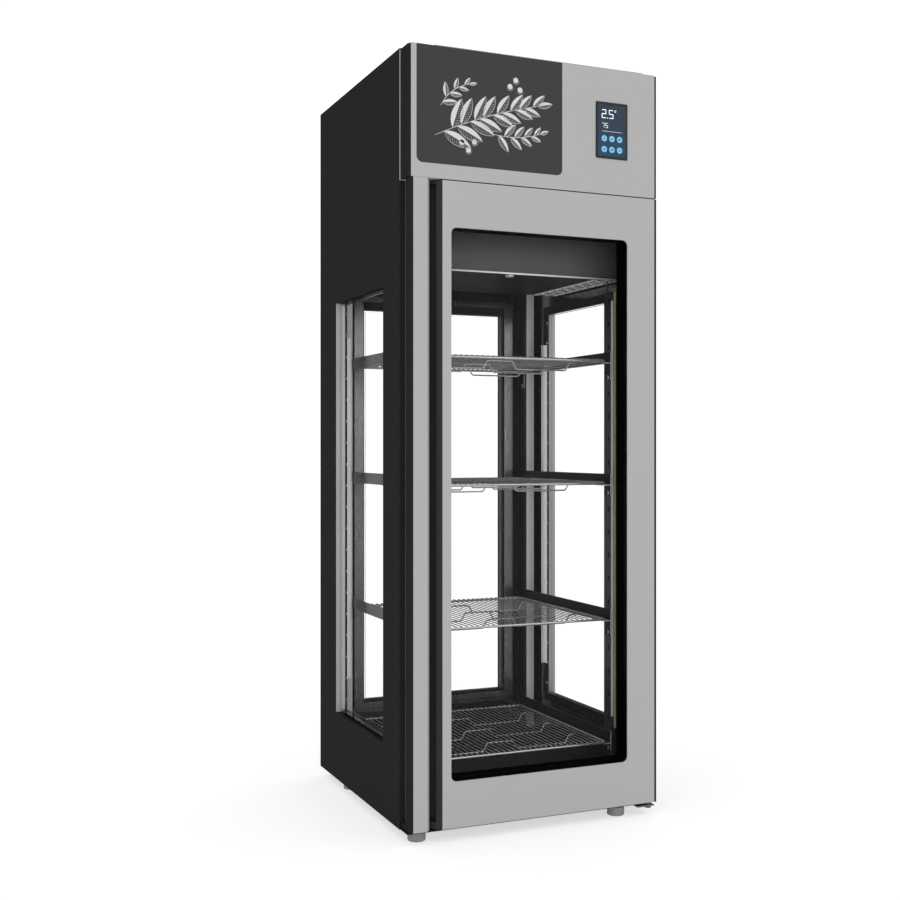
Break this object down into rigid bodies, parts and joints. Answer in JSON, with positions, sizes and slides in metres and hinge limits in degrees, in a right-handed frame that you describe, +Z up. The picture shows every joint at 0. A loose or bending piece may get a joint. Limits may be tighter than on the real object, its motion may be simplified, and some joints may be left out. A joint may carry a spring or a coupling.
{
  "type": "dry aging cabinet",
  "caption": "Tall glazed refrigerated dry aging cabinet with a hinged glass door, wire shelves, a header with a control screen, a cooling unit on top and round feet.",
  "frame": {"origin": "centre of the bounding box's footprint, on the floor", "axes": "+Z up, +Y to the rear, so the door faces -Y and its hinge is at +X"},
  "size_m": [0.75, 0.775, 2.081],
  "materials": {
    "silver_sheet": "satin",
    "black_sheet": "satin",
    "black_plastic": "matte",
    "panel_grey": "satin",
    "screen": "glossy",
    "glass": "clear",
    "stainless": "brushed",
    "light_diffuser": "satin",
    "gasket_rubber": "matte",
    "fin_aluminium": "satin",
    "condenser_metal": "satin",
    "compressor_black": "semi-gloss"
  },
  "bodies": {
    "cabinet": {"left_wall": "black_sheet", "right_wall": "black_sheet", "rear_wall": "black_sheet", "left_glazing": "glass", "right_glazing": "glass", "rear_glazing": "glass", "left_window_frame": "black_plastic", "right_window_frame": "black_plastic", "rear_window_frame": "stainless", "base_floor": "black_sheet", "compartment_ceiling": "black_sheet", "front_frame": "black_plastic", "header_fascia": "silver_sheet", "header_left_cap": "black_plastic", "header_right_trim": "black_plastic", "graphics_panel": "panel_grey", "display_bezel": "black_plastic", "display_screen": "screen", "roof_cover": "silver_sheet", "machine_rear_cover": "black_sheet", "front_post": "silver_sheet", "post_trim": "black_plastic", "hinge_plate_lower": "stainless", "hinge_plate_upper": "stainless", "air_duct_cover": "stainless", "evaporator_coil": "fin_aluminium", "evaporator_fan_guard": "black_plastic", "condenser": "condenser_metal", "compressor": "compressor_black", "electrical_box": "silver_sheet", "light_bar_left": "light_diffuser", "light_bar_right": "light_diffuser", "rack_upright_front_left": "stainless", "rack_upright_front_right": "stainless", "rack_upright_rear_left": "stainless", "rack_upright_rear_right": "stainless", "runner_1_left": "stainless", "runner_1_right": "stainless", "runner_2_left": "stainless", "runner_2_right": "stainless", "runner_3_left": "stainless", "runner_3_right": "stainless", "runner_4_left": "stainless", "runner_4_right": "stainless"},
    "door": {"door_skin": "silver_sheet", "door_core": "black_plastic", "door_glazing": "glass", "door_grip": "black_plastic", "door_trim": "black_plastic", "door_gasket": "gasket_rubber"},
    "shelf_1_body": {"shelf_1": "stainless"},
    "shelf_2_body": {"shelf_2": "stainless"},
    "shelf_3_body": {"shelf_3": "stainless"},
    "shelf_4_body": {"shelf_4": "stainless"},
    "evaporator_rotor": {"evaporator_fan": "black_plastic"},
    "condenser_rotor": {"condenser_fan": "fin_aluminium"},
    "front_left_foot": {"foot_front_left": "stainless"},
    "front_right_foot": {"foot_front_right": "stainless"},
    "rear_left_foot": {"foot_rear_left": "stainless"},
    "rear_right_foot": {"foot_rear_right": "stainless"}
  },
  "joints": [
    {"name": "door_hinge", "type": "hinge", "parent": "cabinet", "child": "door", "pos_m": [0.357, -0.367, 0.9], "axis": [0, 0, 1], "range_deg": [0, 110]},
    {"name": "shelf_1_slide", "type": "slide", "parent": "cabinet", "child": "shelf_1_body", "axis": [0, -1, 0], "range_m": [0, 0.05]},
    {"name": "shelf_2_slide", "type": "slide", "parent": "cabinet", "child": "shelf_2_body", "axis": [0, -1, 0], "range_m": [0, 0.05]},
    {"name": "shelf_3_slide", "type": "slide", "parent": "cabinet", "child": "shelf_3_body", "axis": [0, -1, 0], "range_m": [0, 0.05]},
    {"name": "shelf_4_slide", "type": "slide", "parent": "cabinet", "child": "shelf_4_body", "axis": [0, -1, 0], "range_m": [0, 0.05]},
    {"name": "evaporator_fan_spin", "type": "hinge", "parent": "cabinet", "child": "evaporator_rotor", "pos_m": [0, 0.114, 1.594], "axis": [0, 1, 0], "continuous": true},
    {"name": "condenser_fan_spin", "type": "hinge", "parent": "cabinet", "child": "condenser_rotor", "pos_m": [0.175, 0.276, 1.8553], "axis": [0, 1, 0], "continuous": true},
    {"name": "foot_front_left_turn", "type": "hinge", "parent": "cabinet", "child": "front_left_foot", "pos_m": [-0.333, -0.336, 0], "axis": [0, 0, 1], "continuous": true},
    {"name": "foot_front_right_turn", "type": "hinge", "parent": "cabinet", "child": "front_right_foot", "pos_m": [0.265, -0.345, 0], "axis": [0, 0, 1], "continuous": true},
    {"name": "foot_rear_left_turn", "type": "hinge", "parent": "cabinet", "child": "rear_left_foot", "pos_m": [-0.334, 0.197, 0], "axis": [0, 0, 1], "continuous": true},
    {"name": "foot_rear_right_turn", "type": "hinge", "parent": "cabinet", "child": "rear_right_foot", "pos_m": [0.334, 0.197, 0], "axis": [0, 0, 1], "continuous": true}
  ]
}
